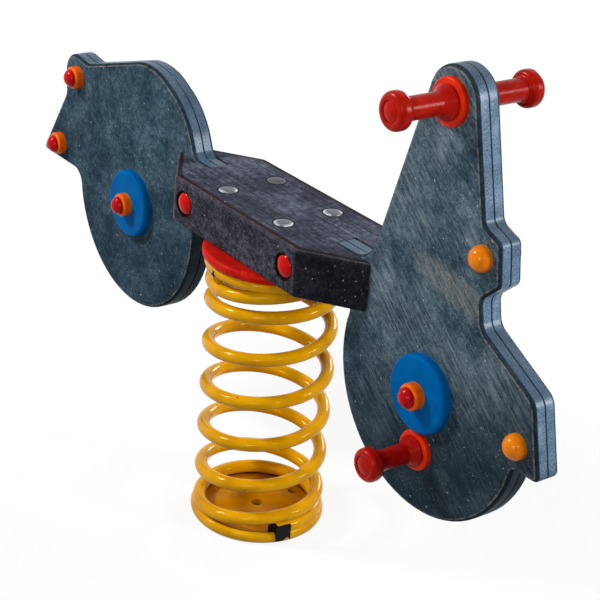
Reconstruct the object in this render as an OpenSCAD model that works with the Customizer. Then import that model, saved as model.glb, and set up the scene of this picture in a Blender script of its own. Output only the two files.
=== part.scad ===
// Spring rider: a coil spring on a ground plate carries a seat with a slotted-in figure panel at each end.
// X points forward, Y to the rider's left, Z up. The origin is the centre of the ground plate's underside.

/* [Spring] */
// Outer diameter of the coil
coil_d = 200; // [180:1:220]
// Diameter of the wire
wire_d = 20; // [16:0.5:22]
// Rise of one open turn
active_pitch = 70; // [60:0.5:80]
// Number of turns between the straight tips
coil_turns = 7.72; // [6.72:1:8.72]
// Turns that lie closed on the ground plate
bottom_closed_turns = 1; // [0.8:0.1:1.2]
// Turns that lie closed under the top plate
top_closed_turns = 1.6; // [1.2:0.1:1.8]
// Turns over which the pitch opens or closes
ramp_turns = 0.45; // [0.3:0.05:0.6]
// Clear gap between closed turns
closed_gap = 0.8; // [0.6:0.1:1.5]

/* [Plates] */
// Width of the dish outside the coil, on each side
plate_margin = 1; // [0.8:0.1:3]
// Thickness of the ground plate under the coil
base_floor_t = 10; // [8:0.5:14]
// Height of the lip round the coil
lip_h = 5; // [3:0.5:6]
// Pitch circle of the anchor holes
anchor_pcd = 136; // [120:1:138]
// Diameter of an anchor hole
anchor_hole_d = 14; // [10:0.5:16]
// Diameter of the drain hole in the middle
drain_hole_d = 18; // [12:1:24]
// Thickness of the top plate
top_plate_t = 5; // [4:0.5:8]
// Diameter of the mounting disc
disc_d = 214; // [206:1:230]
// Thickness of the mounting disc
disc_t = 15; // [14:0.5:20]

/* [Seat] */
// Width of the seat block
seat_w = 162; // [150:1:180]
// Thickness of the seat block
seat_t = 71.5; // [66:0.5:80]
// Length of the straight sides
seat_side_l = 300; // [280:1:320]
// Length over the pointed ends
seat_l = 466; // [440:1:480]
// Radius of the seat's long edges
seat_edge_r = 5; // [3:0.5:6]
// Length between the inner ends of the visible slots
slot_span = 308; // [296:1:320]
// Spacing of the clamp bolts along the seat
clamp_span = 248; // [236:1:252]
// Spacing of the seat bolts along the seat
seat_bolt_span = 136; // [124:1:140]
// Spacing of the seat bolts across the seat
seat_bolt_gauge = 86; // [80:1:92]

/* [Panels] */
// Thickness of one sheet
sheet_t = 19; // [15:0.5:22]
// Radius of the rounded outer edge
panel_edge_r = 6; // [4:0.5:7]
// Length of the whole rider, over the corners of both panels
rider_l = 1241; // [1215:1:1270]
// Depth of the hubs below the underside of the seat
hub_drop = 60; // [56:1:72]
// Radius of the round lower part of a panel
wheel_r = 173; // [166:1:178]
// Height of the front panel's corners above the underside of the seat
front_rise = 200; // [185:1:210]
// Height of the rear panel's hump above the underside of the seat
rear_rise = 186; // [176:1:196]

/* [Handle and peg] */
// Height of the handle above the underside of the seat
handle_rise = 331; // [310:1:350]
// Radius of the panel's head round the handle
head_r = 45; // [42:1:52]
// Length of one handle from the face of the panel
handle_l = 97; // [88:1:120]
// Diameter of the handle's grip
grip_d = 30; // [27:0.5:34]
// Diameter of the end flange of the handle
flange_d = 49; // [44:0.5:56]
// Diameter of the handle's rosette
rosette_d = 62; // [56:1:70]
// Length of one peg from the face of the panel
peg_l = 91; // [84:1:110]
// Diameter of the peg's rosette
peg_rosette_d = 56; // [52:1:60]

/* [Covers] */
// Diameter of a hub disc
hub_disc_d = 108; // [98:0.5:110]
// Thickness of a hub disc
hub_disc_t = 14; // [12:0.5:20]
// Diameter of a two-part cover's ring
ring_d = 37; // [35:0.5:42]
// Diameter of a two-part cover's dome
dome_d = 28; // [27:0.5:30]
// Diameter of a plain front dome
lamp_d = 34.5; // [34:0.5:38]
// Height of a plain front dome
lamp_h = 19; // [18:0.5:22]
// Diameter of a red seat cap
seat_cap_d = 32.5; // [31:0.5:34]

/* [Hidden] */

$fn = 64;
// Largest turn of one step on an outline's arc, in degrees
arc_step = 10;
// Steps of the rounded edge of a plate
edge_steps = 3;
// Rings of the wire's mesh in one turn, and sides of the wire
wire_rings = 24;
wire_sides = 12;
// Azimuth at which the wire leaves its lower clip, in degrees
tip_azimuth = -6;

// Clearance of every fit
fit_gap = 0.3;
// Extra length of a cut past the face it goes through
overrun = 1;
right = -1;
left = 1;

yellow = "goldenrod";
red = "firebrick";
bright_red = "orangered";
orange = "darkorange";
blue = "royalblue";
slate = "slategray";
charcoal = "dimgray";
black = "black";
zinc = "silver";

// Spring
wire_r = wire_d / 2;
coil_r = coil_d / 2 - wire_r;
closed_pitch = wire_d + closed_gap;
closed_slope = atan(closed_pitch / (2 * PI * coil_r));
tail_drop = wire_d * sin(closed_slope);
tip_reach = wire_d + wire_r * sin(closed_slope);
seat_depth = wire_r + fit_gap + tail_drop;
spring_z = base_floor_t + seat_depth;
opening_turn = bottom_closed_turns;
closing_turn = coil_turns - top_closed_turns - ramp_turns;

function ramp_area(n) = n <= 0 ? 0 : n < ramp_turns ? n * n / (2 * ramp_turns) : n - ramp_turns / 2;
function ramp_share(n) = max(0, min(1, n / ramp_turns));
function wire_lift(n) = closed_pitch * n
    + (active_pitch - closed_pitch) * (ramp_area(n - opening_turn) - ramp_area(n - closing_turn));
function wire_pitch(n) = closed_pitch
    + (active_pitch - closed_pitch) * (ramp_share(n - opening_turn) - ramp_share(n - closing_turn));

top_azimuth = tip_azimuth + 360 * coil_turns;
spring_top_z = spring_z + wire_lift(coil_turns);
top_floor_z = spring_top_z + seat_depth;

// Plates and clips
plate_r = coil_d / 2 + plate_margin;
plate_foot_r = 5;
lip_round = 0.8;
anchor_count = 4;
clip_wall = 4;
clip_cheek = 3;
clip_l = wire_d + clip_wall;
clip_top = closed_pitch - clip_l * tan(closed_slope) - wire_r - fit_gap;
skirt_t = 2.6;
skirt_drop = 4;
skirt_notch_w = 7;
skirt_notch_h = 5;
disc_z = top_floor_z + top_plate_t;
disc_edge_r = 7;
screw_count = 4;
screw_pcd = 100;
screw_d = 8;
screw_depth = 11;
screw_head_d = 15;
screw_head_h = 4.5;

// Seat
seat_z = disc_z + disc_t;
seat_corner_r = 12;
seat_tip_r = 7;
slot_wall = 3;
panel_t = 2 * sheet_t;
slot_w = panel_t + 2 * fit_gap;
slot_x = slot_span / 2;
tenon_x = 92;
tenon_h = 54;
tongue_sink = 1;
clamp_x = clamp_span / 2;
clamp_z = seat_t / 2;
clamp_bolt_d = 12;
clamp_depth = 21;
counterbore_d = 36.5;
washer_d = 34;
washer_t = 2.5;
cap_wall = 2.5;
cap_rise = 6.5;
cap_sink = 2;
seat_bolt_d = 10;
seat_bolt_head_d = 28;
seat_bolt_head_h = 2.6;
tee_barrel_d = 14;
tee_barrel_h = 10;
tee_flange_d = 24;
tee_flange_t = 2;

// Panels
front_share = 0.465;
front_reach = rider_l * front_share;
rear_reach = rider_l - front_reach;
hub_share = 0.291;
hub_x = rider_l * hub_share;
handle_share = 0.603;
handle_x = front_reach * handle_share;
peg_drop_share = 0.4855;
parting_chamfer = 1.5;
bolt_d = 10;
rod_d = 12;
hub_z = -hub_drop;
handle_z = handle_rise;
peg_z = hub_z - peg_drop_share * wheel_r;
tongue_lift = fit_gap;
tongue_end = slot_x + fit_gap;
tenon_end = tenon_x + fit_gap;
tenon_foot = 4;
tenon_root = 12;
tongue_z = seat_t - tongue_sink;
wheel_fillet_r = 14;
guard_fillet_r = 8;
tail_fillet_r = 25;
neck_share = 0.39;
neck_x = front_reach * neck_share;
neck_fillet_r = 45;
hump_foot_share = 0.289;
hump_foot_x = rear_reach * hump_foot_share;
hump_fillet_r = 18;
guard_share = 0.43;
guard_z = -front_rise * guard_share;
tail_share = 0.36;
tail_z = -rear_rise * tail_share;
// Middles of the front domes and of the tail covers, as shares of their panel's reach and rise
front_dome_shares = [[0.7536, 0.8], [0.9272, -0.25]];
tail_cover_shares = [[0.8224, 0.511], [0.9037, -0.199]];

// Front panel from the guard's tip up to the foot of the head:
// share of the reach, share of the rise, radius as a share of the wheel's radius
front_corner_shares = [
    [1, -0.42, 0.05],
    [0.955, 0.08, 0.13],
    [0.775, 0.345, 0.12],
    [0.761, 0.53, 0.08],
    [0.812, 0.665, 0.055],
    [0.797, 0.935, 0.06],
    [0.742, 0.995, 0.08]
];
// Rear panel from the tail's tip over the hump, with the same columns
rear_corner_shares = [
    [1, -0.36, 0.05],
    [0.884, 0.3, 0.12],
    [0.892, 0.73, 0.2],
    [0.782, 0.67, 0.18],
    [0.486, 1, 0.64],
    [0.334, 0.733, 0.64]
];

// Handles, pegs and covers
grip_bore_d = rod_d + 2 * fit_gap;
rosette_t = 8;
rosette_round = 3.5;
handle_foot_d = 47;
handle_foot_h = 3;
handle_flare_h = 15;
flange_h = 21;
flange_round = 7.4;
flare_round = 9;
mouth_wall = 1.5;
pocket_d = 28;
pocket_depth = 15;
plug_wall = 2.2;
plug_rise = 1.5;
peg_grip_d = 28;
peg_foot_d = 43;
peg_flange_d = 46;
rod_nut_d = 21;
rod_nut_h = 9;
rod_stand = 2;
bolt_head_d = 17;
bolt_head_h = 6;
bolt_nut_d = 17;
bolt_nut_h = 7;
bolt_stand = 1.5;
hub_disc_round = 5.5;
ring_h = 14;
ring_floor = 3;
ring_round = 4;
ring_lip = 3.5;
dome_wall = 2.6;
dome_rise = 11.5;
lamp_base_d = 28;
lamp_base_t = 3;
lamp_wall = 2.4;
lamp_skirt = 5;

// Plane geometry: unit vector, wrapped angle, one filleted corner, and a whole outline of [x, y, radius] corners
function unit(v) = v / norm(v);
function wrapped(a) = a > 180 ? a - 360 : a <= -180 ? a + 360 : a;
function flat(p) = [p[0], p[1]];
function arc(c, r, from, sweep) =
    let (n = max(1, ceil(abs(sweep) / arc_step)))
    [for (k = [0:n]) c + r * [cos(from + sweep * k / n), sin(from + sweep * k / n)]];
function fillet(a, b, c, r) = r == 0 ? [b] :
    let (
        u = unit(a - b),
        v = unit(c - b),
        half = acos(u * v) / 2,
        o = b + unit(u + v) * r / sin(half),
        s = b + u * r / tan(half) - o,
        e = b + v * r / tan(half) - o,
        from = atan2(s[1], s[0])
    ) arc(o, r, from, wrapped(atan2(e[1], e[0]) - from));
function outline(corners) =
    let (n = len(corners))
    [for (i = [0:n - 1])
        each fillet(flat(corners[(i + n - 1) % n]), flat(corners[i]), flat(corners[(i + 1) % n]), corners[i][2])];
function inset(path, d) =
    let (n = len(path))
    [for (i = [0:n - 1])
        let (u = unit(path[i] - path[(i + n - 1) % n]), v = unit(path[(i + 1) % n] - path[i]))
        path[i] + [-u[1] - v[1], u[0] + v[0]] * d / (1 + u * v)];
// Angle on a circle at which the tangent from a point touches it
function tangent_angle(c, r, p, side) =
    atan2(p[1] - c[1], p[0] - c[0]) + side * acos(r / norm(p - c));
function with_radius(points) = [for (p = points) [p[0], p[1], 0]];
function mirrored_path(path) = [for (i = [len(path) - 1:-1:0]) [-path[i][0], path[i][1]]];
// Radius of the ball that a cap of the given base radius and height is part of
function cap_ball_r(r, h) = (r * r + h * h) / (2 * h);

// Panel outlines, seen from the rider's right, with x away from the seat and y up from its underside
function wheel_arc(end_angle) =
    let (start = 180 - asin((tongue_lift - hub_z) / wheel_r))
    with_radius(arc([hub_x, hub_z], wheel_r, start, end_angle - start));
function scaled_corners(shares, reach, rise) =
    [for (s = shares) [s[0] * reach, s[1] * rise, s[2] * wheel_r]];
function rounded_ends(path, first_r, last_r) =
    [for (i = [0:len(path) - 1])
        [path[i][0], path[i][1], i == 0 ? first_r : i == len(path) - 1 ? last_r : 0]];
tongue_corners = [
    [tongue_end, tongue_z, 0],
    [tongue_end, tongue_lift, 0]
];
front_corners = scaled_corners(front_corner_shares, front_reach, front_rise);
head_foot = flat(front_corners[len(front_corners) - 1]);
head_c = [handle_x, handle_z];
neck = [neck_x, tongue_z];
head_start = tangent_angle(head_c, head_r, head_foot, 1);
head_end = tangent_angle(head_c, head_r, neck, -1) + 360;
front_path = outline(concat(
    rounded_ends(wheel_arc(360 + asin((guard_z - hub_z) / wheel_r)), wheel_fillet_r, guard_fillet_r),
    front_corners,
    with_radius(arc(head_c, head_r, head_start, head_end - head_start)),
    [[neck_x, tongue_z, neck_fillet_r]],
    tongue_corners
));
rear_path = mirrored_path(outline(concat(
    rounded_ends(wheel_arc(360 + asin((tail_z - hub_z) / wheel_r)), wheel_fillet_r, tail_fillet_r),
    scaled_corners(rear_corner_shares, rear_reach, rear_rise),
    [[hump_foot_x, tongue_z, hump_fillet_r]],
    tongue_corners
)));

// Seat outline from above
seat_tip_w = slot_w + 2 * slot_wall;
seat_corners = [
    [seat_l / 2, -seat_tip_w / 2, seat_tip_r],
    [seat_l / 2, seat_tip_w / 2, seat_tip_r],
    [seat_side_l / 2, seat_w / 2, seat_corner_r],
    [-seat_side_l / 2, seat_w / 2, seat_corner_r],
    [-seat_l / 2, seat_tip_w / 2, seat_tip_r],
    [-seat_l / 2, -seat_tip_w / 2, seat_tip_r],
    [-seat_side_l / 2, -seat_w / 2, seat_corner_r],
    [seat_side_l / 2, -seat_w / 2, seat_corner_r]
];

// Edge profiles of a plate as [inset, height] rings
function round_up(t, r) =
    [for (k = [0:edge_steps]) let (a = 90 * k / edge_steps) [r * (1 - cos(a)), t - r + r * sin(a)]];
function round_down(r) =
    [for (k = [edge_steps:-1:0]) let (a = 90 * k / edge_steps) [r * (1 - cos(a)), r - r * sin(a)]];
sheet_edges = concat([[parting_chamfer, 0], [0, parting_chamfer]], round_up(sheet_t, panel_edge_r));
seat_edges = concat(round_down(seat_edge_r), round_up(seat_t, seat_edge_r));

// Solid between rings of points that all have the same count
module ring_solid(rings) {
    m = len(rings[0]);
    last = len(rings) - 1;
    walls = [
        for (k = [0:last - 1], i = [0:m - 1])
            let (a = k * m + i, b = k * m + (i + 1) % m)
            each [[a, a + m, b + m], [a, b + m, b]]
    ];
    floor_face = [for (i = [0:m - 1]) i];
    roof_face = [for (i = [m - 1:-1:0]) last * m + i];
    polyhedron(points = [for (r = rings) each r], faces = concat([floor_face, roof_face], walls), convexity = 12);
}

module edged_plate(path, edges)
    ring_solid([for (e = edges) [for (p = inset(path, e[0])) [p[0], p[1], e[1]]]]);

// Places children on the outer face of a panel, or of the seat, with their own Z pointing outwards
module facing(x, z, y, side)
    translate([x, side * y, z])
        rotate([-side * 90, 0, 0])
            children();

module facing_both(x, z, y)
    for (side = [right, left])
        facing(x, z, y, side)
            children();

module cross_hole(x, z, d, l)
    translate([x, 0, z])
        rotate([90, 0, 0])
            cylinder(d = d, h = l, center = true);

module revolved(corners)
    rotate_extrude()
        polygon(outline(corners));

module round_cap(r, h) {
    ball_r = cap_ball_r(r, h);
    intersection() {
        translate([0, 0, h - ball_r])
            sphere(r = ball_r);
        cylinder(r = r, h = h);
    }
}

module hex_nut(across_corners, h, bore_d)
    difference() {
        cylinder(d = across_corners, h = h, $fn = 6);
        translate([0, 0, -overrun])
            cylinder(d = bore_d, h = h + 2 * overrun);
    }

// Hex bolt across a panel: its head on the right, room for the nut on the left
module cross_bolt(x, z, grip, d, head_d, head_h, nut_h, stand) {
    translate([x, -grip, z])
        rotate([-90, 0, 0])
            cylinder(d = d, h = 2 * grip + nut_h + stand);
    facing(x, z, grip, right)
        cylinder(d = head_d, h = head_h, $fn = 6);
}

// Dish that holds one closed end of the coil, lip up, with its floor's top face at z = 0
module coil_dish(floor_t) {
    groove_z = seat_depth;
    difference() {
        rotate_extrude()
            difference() {
                polygon(outline([
                    [0, -floor_t, 0],
                    [plate_r, -floor_t, min(plate_foot_r, floor_t - fit_gap)],
                    [plate_r, lip_h, lip_round],
                    [coil_r, lip_h, 0],
                    [coil_r, 0, 0],
                    [0, 0, 0]
                ]));
                translate([coil_r, groove_z])
                    circle(r = groove_z);
            }
        clip_notch();
    }
}

// Room in the lip where the clip grips the tip, in the frame of the wire's end
module clip_notch()
    rotate([0, 0, tip_azimuth])
        translate([coil_r, -clip_l - fit_gap, 0])
            cube([plate_r, clip_l + 2 * fit_gap, lip_h + overrun]);

// Clip over the straight tip of the wire; the wire's centre is on the Y axis and leaves towards +Y
module tip_clip(skirted) {
    reach = plate_r - coil_r + fit_gap;
    outer = skirted ? reach + skirt_t : plate_r - coil_r;
    crown = skirted ? clip_top : -clip_cheek;
    difference() {
        union() {
            translate([-wire_r - fit_gap - clip_cheek, -clip_l, -seat_depth])
                cube([wire_r + fit_gap + clip_cheek + outer, clip_l, seat_depth + crown]);
            if (skirted)
                translate([reach, -clip_l, -seat_depth - skirt_drop])
                    cube([skirt_t, clip_l, skirt_drop + overrun]);
        }
        translate([-wire_r - fit_gap, -tip_reach - fit_gap, -seat_depth - overrun])
            cube([wire_d + 2 * fit_gap, tip_reach + fit_gap + overrun, seat_depth + crown + 2 * overrun]);
        translate([0, -clip_l / 2 + skirt_notch_w / 2, -seat_depth - skirt_drop])
            rotate([90, 0, 90])
                linear_extrude(height = 2 * plate_r)
                    polygon([
                        [-skirt_notch_w / 2, -overrun],
                        [skirt_notch_w, -overrun],
                        [skirt_notch_w, 0],
                        [skirt_notch_w / 2, skirt_notch_h],
                        [-skirt_notch_w / 2, 0]
                    ]);
    }
}

module base_plate()
    color(yellow)
        difference() {
            translate([0, 0, base_floor_t])
                coil_dish(base_floor_t);
            translate([0, 0, -overrun])
                cylinder(d = drain_hole_d, h = base_floor_t + 2 * overrun);
            for (k = [0:anchor_count - 1])
                rotate([0, 0, 360 * k / anchor_count])
                    translate([anchor_pcd / 2, 0, -overrun])
                        cylinder(d = anchor_hole_d, h = base_floor_t + 2 * overrun);
        }

module base_clip()
    color(black)
        rotate([0, 0, tip_azimuth])
            translate([coil_r, 0, spring_z])
                tip_clip(true);

// Centre line of the wire as frames of [centre, outward direction, direction across]
function wire_frame(n, run) =
    let (
        a = tip_azimuth + 360 * n,
        out = [cos(a), sin(a), 0],
        slope = wire_pitch(n) / (2 * PI * coil_r),
        along = unit([-sin(a), cos(a), slope])
    ) [coil_r * out + [0, 0, spring_z + wire_lift(n)] + run * along, out, cross(along, out)];
wire_steps = ceil(coil_turns * wire_rings);
wire_frames = concat(
    [wire_frame(0, -wire_d)],
    [for (k = [0:wire_steps]) wire_frame(coil_turns * k / wire_steps, 0)],
    [wire_frame(coil_turns, wire_d)]
);
half_turn_steps = floor(wire_rings / 2);
wire_self_gap = min([
    for (i = [0:len(wire_frames) - 1 - half_turn_steps], j = [i + half_turn_steps:len(wire_frames) - 1])
        norm(wire_frames[i][0] - wire_frames[j][0])
]) - wire_d;

module spring()
    color(yellow)
        ring_solid([
            for (f = wire_frames)
                [for (i = [0:wire_sides - 1])
                    let (a = 360 * i / wire_sides)
                    f[0] + wire_r * (cos(a) * f[1] + sin(a) * f[2])]
        ]);

module top_clip()
    color(black)
        rotate([0, 0, top_azimuth])
            translate([coil_r, 0, spring_top_z])
                rotate([180, 0, 0])
                    tip_clip(false);

module seat_bolt_places()
    for (x = [-1, 1], y = [-1, 1])
        translate([x * seat_bolt_span / 2, y * seat_bolt_gauge / 2, 0])
            children();

module screw_places()
    for (k = [0:screw_count - 1])
        rotate([0, 0, 360 * k / screw_count])
            translate([screw_pcd / 2, 0, 0])
                children();

module top_plate()
    color(yellow)
        difference() {
            translate([0, 0, top_floor_z])
                rotate([180, 0, 0])
                    rotate([0, 0, -top_azimuth - tip_azimuth])
                        coil_dish(top_plate_t);
            screw_places()
                translate([0, 0, top_floor_z - overrun])
                    cylinder(d = screw_d + 2 * fit_gap, h = top_plate_t + 2 * overrun);
        }

module plate_screws()
    color(zinc)
        screw_places() {
            translate([0, 0, top_floor_z])
                cylinder(d = screw_d, h = top_plate_t + screw_depth);
            translate([0, 0, top_floor_z - screw_head_h])
                cylinder(d = screw_head_d, h = screw_head_h, $fn = 6);
        }

module mounting_disc()
    color(red)
        difference() {
            translate([0, 0, disc_z])
                revolved([
                    [0, 0, 0],
                    [disc_d / 2, 0, disc_edge_r],
                    [disc_d / 2, disc_t, disc_edge_r],
                    [0, disc_t, 0]
                ]);
            screw_places()
                translate([0, 0, disc_z - overrun])
                    cylinder(d = screw_d + fit_gap, h = screw_depth + fit_gap + overrun);
            seat_bolt_places() {
                translate([0, 0, disc_z - overrun])
                    cylinder(d = tee_flange_d + fit_gap, h = tee_flange_t + overrun);
                translate([0, 0, disc_z])
                    cylinder(d = tee_barrel_d + fit_gap, h = tee_flange_t + tee_barrel_h + fit_gap);
                translate([0, 0, disc_z])
                    cylinder(d = seat_bolt_d + 2 * fit_gap, h = disc_t + overrun);
            }
        }

module seat_tee_nuts()
    color(zinc)
        seat_bolt_places()
            translate([0, 0, disc_z])
                difference() {
                    union() {
                        cylinder(d = tee_flange_d, h = tee_flange_t);
                        cylinder(d = tee_barrel_d, h = tee_flange_t + tee_barrel_h);
                    }
                    translate([0, 0, -overrun])
                        cylinder(d = seat_bolt_d + fit_gap, h = tee_flange_t + tee_barrel_h + 2 * overrun);
                }

// Slot that shows on top, and the deeper mortise under it for the tenon
module seat_slot(side)
    mirror([side < 0 ? 1 : 0, 0, 0]) {
        translate([slot_x, -slot_w / 2, -overrun])
            cube([seat_l, slot_w, seat_t + 2 * overrun]);
        translate([tenon_x, -slot_w / 2, -overrun])
            cube([seat_l, slot_w, tenon_h + fit_gap + overrun]);
    }

module seat()
    color(charcoal)
        translate([0, 0, seat_z])
            difference() {
                edged_plate(outline(seat_corners), seat_edges);
                for (side = [-1, 1]) {
                    seat_slot(side);
                    cross_hole(side * clamp_x, clamp_z, clamp_bolt_d + 2 * fit_gap, seat_w + overrun);
                    facing_both(side * clamp_x, clamp_z, seat_w / 2 - clamp_depth)
                        cylinder(d = counterbore_d, h = clamp_depth + overrun);
                }
                seat_bolt_places()
                    translate([0, 0, -overrun])
                        cylinder(d = seat_bolt_d + 2 * fit_gap, h = seat_t + 2 * overrun);
            }

module seat_bolts()
    color(zinc)
        seat_bolt_places() {
            translate([0, 0, disc_z])
                cylinder(d = seat_bolt_d, h = disc_t + seat_t);
            translate([0, 0, seat_z + seat_t])
                round_cap(seat_bolt_head_d / 2, seat_bolt_head_h);
        }

clamp_grip = seat_w / 2 - clamp_depth;
clamp_zs = seat_z + clamp_z;

module seat_clamp_bolts()
    color(zinc)
        for (x = [-clamp_x, clamp_x])
            cross_bolt(x, clamp_zs, clamp_grip + washer_t, clamp_bolt_d, rod_nut_d, rod_nut_h, rod_nut_h, rod_stand);

module seat_clamp_washers()
    color(zinc)
        for (x = [-clamp_x, clamp_x])
            facing_both(x, clamp_zs, clamp_grip)
                difference() {
                    cylinder(d = washer_d, h = washer_t);
                    translate([0, 0, -overrun])
                        cylinder(d = clamp_bolt_d + 2 * fit_gap, h = washer_t + 2 * overrun);
                }

module seat_clamp_nuts()
    color(zinc)
        for (x = [-clamp_x, clamp_x])
            facing(x, clamp_zs, clamp_grip + washer_t, left)
                hex_nut(rod_nut_d, rod_nut_h, clamp_bolt_d + fit_gap);

module seat_caps()
    color(red)
        for (x = [-clamp_x, clamp_x])
            facing_both(x, clamp_zs, clamp_grip + washer_t)
                domed_cup(seat_cap_d, clamp_depth - washer_t - cap_sink, cap_rise, cap_wall);

// Cup with a domed end, its rim at z = 0
module domed_cup(d, skirt, rise, wall)
    difference() {
        union() {
            cylinder(d = d, h = skirt);
            translate([0, 0, skirt])
                round_cap(d / 2, rise);
        }
        translate([0, 0, -overrun])
            cylinder(d = d - 2 * wall, h = skirt - wall + rise / 2 + overrun);
    }

// One sheet with the tenon that reaches under the seat's top to the clamp bolt; end is 1 in front and -1 at the rear
module panel_sheet(path, side, end)
    translate([0, 0, seat_z])
        mirror([0, side < 0 ? 1 : 0, 0]) {
            rotate([90, 0, 0])
                mirror([0, 0, 1])
                    edged_plate(path, sheet_edges);
            mirror([end < 0 ? 1 : 0, 0, 0])
                translate([tenon_end, fit_gap, tenon_foot])
                    cube([tongue_end + tenon_root - tenon_end, sheet_t - 2 * fit_gap, tenon_h - tenon_foot]);
        }

module front_sheet(side)
    color(slate)
        difference() {
            panel_sheet(front_path, side, 1);
            cross_hole(clamp_x, clamp_zs, clamp_bolt_d + 2 * fit_gap, panel_t + overrun);
            cross_hole(handle_x, seat_z + handle_z, rod_d + 2 * fit_gap, panel_t + overrun);
            cross_hole(hub_x, seat_z + peg_z, rod_d + 2 * fit_gap, panel_t + overrun);
            cross_hole(hub_x, seat_z + hub_z, bolt_d + 2 * fit_gap, panel_t + overrun);
            front_dome_places()
                cylinder(d = bolt_d + 2 * fit_gap, h = 2 * panel_t, center = true);
        }

module rear_sheet(side)
    color(slate)
        difference() {
            panel_sheet(rear_path, side, -1);
            cross_hole(-clamp_x, clamp_zs, clamp_bolt_d + 2 * fit_gap, panel_t + overrun);
            cross_hole(-hub_x, seat_z + hub_z, bolt_d + 2 * fit_gap, panel_t + overrun);
            tail_places()
                cylinder(d = bolt_d + 2 * fit_gap, h = 2 * panel_t, center = true);
        }

module front_panel_right() front_sheet(right);
module front_panel_left() front_sheet(left);
module rear_panel_right() rear_sheet(right);
module rear_panel_left() rear_sheet(left);

front_dome_spots = [for (s = front_dome_shares) [s[0] * front_reach, s[1] * front_rise]];
tail_spots = [for (s = tail_cover_shares) [-s[0] * rear_reach, s[1] * rear_rise]];
hub_spots = [[hub_x, hub_z], [-hub_x, hub_z]];

module front_dome_places()
    for (p = front_dome_spots)
        facing_both(p[0], seat_z + p[1], sheet_t)
            children();

module tail_places()
    for (p = tail_spots)
        facing_both(p[0], seat_z + p[1], sheet_t)
            children();

module hub_places()
    for (p = hub_spots)
        facing_both(p[0], seat_z + p[1], sheet_t + hub_disc_t)
            children();

// Turned grip with a flared foot on its rosette and a flange with a nut pocket at its end
module turned_grip(l, foot_d, waist_d, end_d)
    revolved([
        [grip_bore_d / 2, rosette_t, 0],
        [foot_d / 2, rosette_t, 0],
        [foot_d / 2, rosette_t + handle_foot_h, handle_foot_h / 2],
        [waist_d / 2, rosette_t + handle_flare_h, flare_round],
        [waist_d / 2, l - flange_h, flare_round / 2],
        [end_d / 2, l - flange_h + handle_foot_h, flange_round],
        [end_d / 2, l, flange_round],
        [pocket_d / 2 + mouth_wall, l, 0],
        [pocket_d / 2, l - mouth_wall / 2, 0],
        [pocket_d / 2, l - pocket_depth, 0],
        [grip_bore_d / 2, l - pocket_depth, 0]
    ]);

module rosette(d)
    revolved([
        [grip_bore_d / 2, 0, 0],
        [d / 2, 0, 0],
        [d / 2, rosette_t, rosette_round],
        [grip_bore_d / 2, rosette_t, 0]
    ]);

module end_plugs(x, z, l)
    facing_both(x, seat_z + z, sheet_t + l - pocket_depth)
        domed_cup(pocket_d - 2 * fit_gap, pocket_depth - plug_rise, 2 * plug_rise, plug_wall);

module tie_rod(x, z, l)
    cross_hole(x, seat_z + z, rod_d, 2 * (sheet_t + l - pocket_depth + rod_nut_h + rod_stand));

module rod_nuts(x, z, l)
    facing_both(x, seat_z + z, sheet_t + l - pocket_depth)
        hex_nut(rod_nut_d, rod_nut_h, rod_d + fit_gap);

module handle(side)
    color(red)
        facing(handle_x, seat_z + handle_z, sheet_t, side)
            turned_grip(handle_l, handle_foot_d, grip_d, flange_d);

module peg(side)
    color(red)
        facing(hub_x, seat_z + peg_z, sheet_t, side)
            turned_grip(peg_l, peg_foot_d, peg_grip_d, peg_flange_d);

module handle_right() handle(right);
module handle_left() handle(left);
module handle_rosettes() color(bright_red) facing_both(handle_x, seat_z + handle_z, sheet_t) rosette(rosette_d);
module handle_plugs() color(red) end_plugs(handle_x, handle_z, handle_l);
module handle_rod() color(zinc) tie_rod(handle_x, handle_z, handle_l);
module handle_nuts() color(zinc) rod_nuts(handle_x, handle_z, handle_l);
module peg_right() peg(right);
module peg_left() peg(left);
module peg_rosettes() color(bright_red) facing_both(hub_x, seat_z + peg_z, sheet_t) rosette(peg_rosette_d);
module peg_plugs() color(red) end_plugs(hub_x, peg_z, peg_l);
module peg_rod() color(zinc) tie_rod(hub_x, peg_z, peg_l);
module peg_nuts() color(zinc) rod_nuts(hub_x, peg_z, peg_l);

module hub_disc(x, side)
    color(blue)
        facing(x, seat_z + hub_z, sheet_t, side)
            revolved([
                [bolt_d / 2 + fit_gap, 0, 0],
                [hub_disc_d / 2, 0, 0],
                [hub_disc_d / 2, hub_disc_t, hub_disc_round],
                [bolt_d / 2 + fit_gap, hub_disc_t, 0]
            ]);

module front_hub_disc_right() hub_disc(hub_x, right);
module front_hub_disc_left() hub_disc(hub_x, left);
module rear_hub_disc_right() hub_disc(-hub_x, right);
module rear_hub_disc_left() hub_disc(-hub_x, left);

// Two-part bolt cover: a ring under the bolt head, and a dome that snaps into it over the head
module cover_ring()
    revolved([
        [bolt_d / 2 + fit_gap, 0, 0],
        [ring_d / 2, 0, 0],
        [ring_d / 2, ring_h, ring_round],
        [dome_d / 2 + fit_gap, ring_h, 0],
        [dome_d / 2 + fit_gap, ring_floor, 0],
        [bolt_d / 2 + fit_gap, ring_floor, 0]
    ]);

module cover_dome()
    translate([0, 0, ring_floor])
        domed_cup(dome_d, ring_h - ring_floor + ring_lip, dome_rise - ring_lip, dome_wall);

module cover_bolts(spots, grip)
    for (p = spots)
        cross_bolt(p[0], seat_z + p[1], grip, bolt_d, bolt_head_d, bolt_head_h, bolt_nut_h, bolt_stand);

module cover_nuts(spots, grip)
    for (p = spots)
        facing(p[0], seat_z + p[1], grip, left)
            hex_nut(bolt_nut_d, bolt_nut_h, bolt_d + fit_gap);

hub_grip = sheet_t + hub_disc_t + ring_floor;
tail_grip = sheet_t + ring_floor;
lamp_grip = sheet_t + lamp_base_t;

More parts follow.
